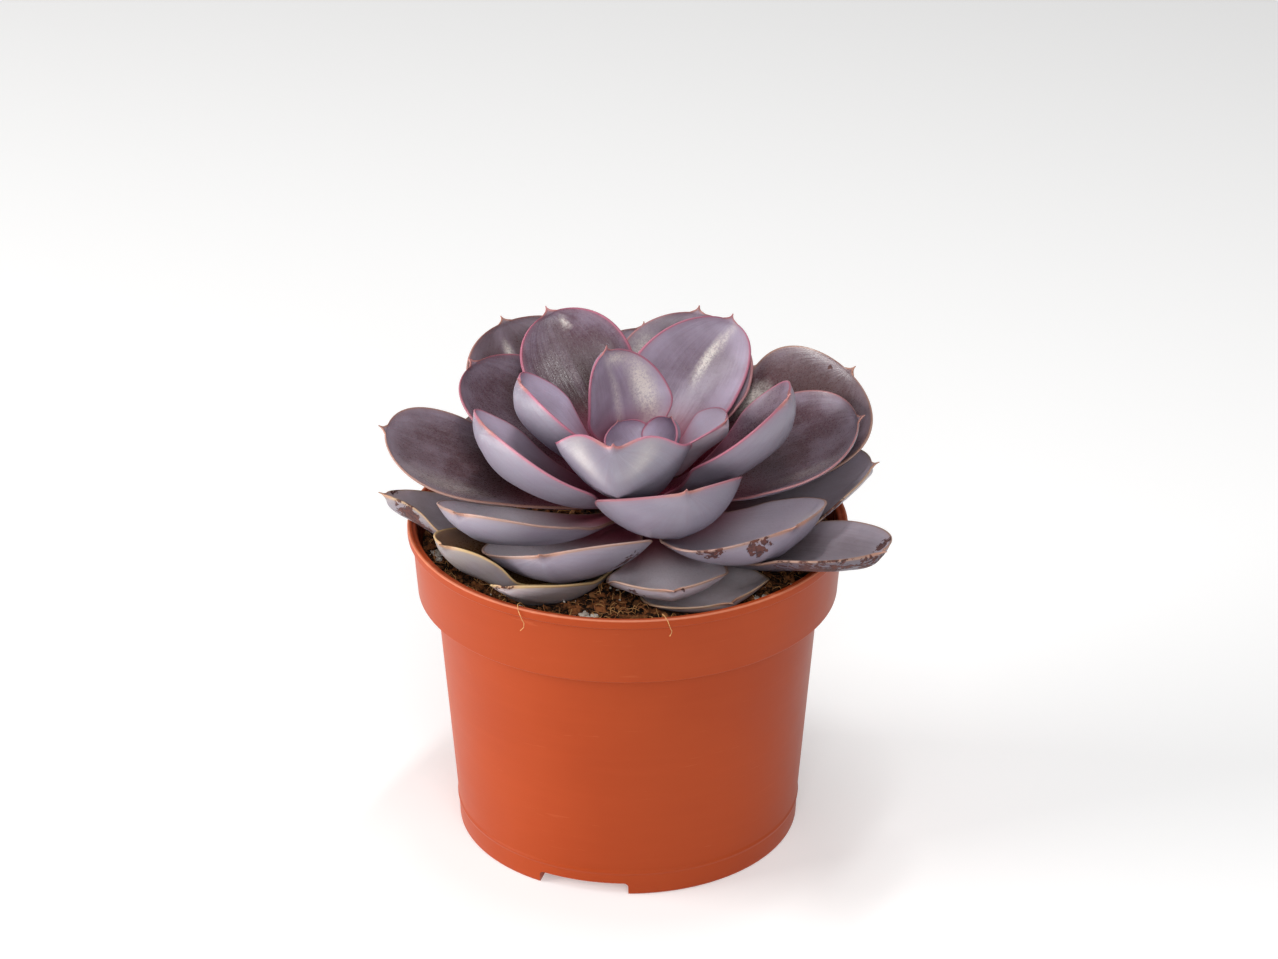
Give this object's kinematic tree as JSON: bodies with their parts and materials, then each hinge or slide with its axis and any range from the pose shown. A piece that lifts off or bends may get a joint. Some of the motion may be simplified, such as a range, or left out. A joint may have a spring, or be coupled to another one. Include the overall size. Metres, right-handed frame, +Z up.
{
  "type": "potted echeveria",
  "caption": "Rosette succulent with broad cupped fleshy leaves, rooted in dark soil in a plain round plastic nursery pot with a collar and foot notches.",
  "frame": {"origin": "centre of the pot's flat underside, on the plane that it stands on", "axes": "+Z up along the pot's axis; the pictured front looks along +Y, so the front is -Y and +X is to its right"},
  "size_m": [0.1368, 0.1293, 0.1363],
  "materials": {
    "pot": "smooth satin terracotta-coloured plastic",
    "soil": null,
    "old_leaf": null,
    "young_leaf": null
  },
  "bodies": {
    "root": {"pot": "pot", "soil": "soil", "heart": "young_leaf", "leaf_01": "old_leaf", "leaf_02": "old_leaf", "leaf_03": "old_leaf", "leaf_04": "old_leaf", "leaf_05": "old_leaf", "leaf_06": "old_leaf", "leaf_07": "old_leaf", "leaf_08": "old_leaf", "leaf_09": "old_leaf", "leaf_10": "old_leaf", "leaf_11": "old_leaf", "leaf_12": "old_leaf", "leaf_13": "old_leaf", "leaf_14": "old_leaf", "leaf_15": "old_leaf", "leaf_16": "old_leaf", "leaf_17": "old_leaf", "leaf_18": "old_leaf", "leaf_19": "old_leaf", "leaf_20": "old_leaf", "leaf_21": "old_leaf", "leaf_22": "old_leaf", "leaf_23": "young_leaf", "leaf_24": "young_leaf", "leaf_25": "young_leaf", "leaf_26": "young_leaf", "leaf_27": "young_leaf", "leaf_28": "young_leaf", "leaf_29": "young_leaf", "leaf_30": "young_leaf", "leaf_31": "young_leaf", "leaf_32": "young_leaf"}
  },
  "joints": []
}
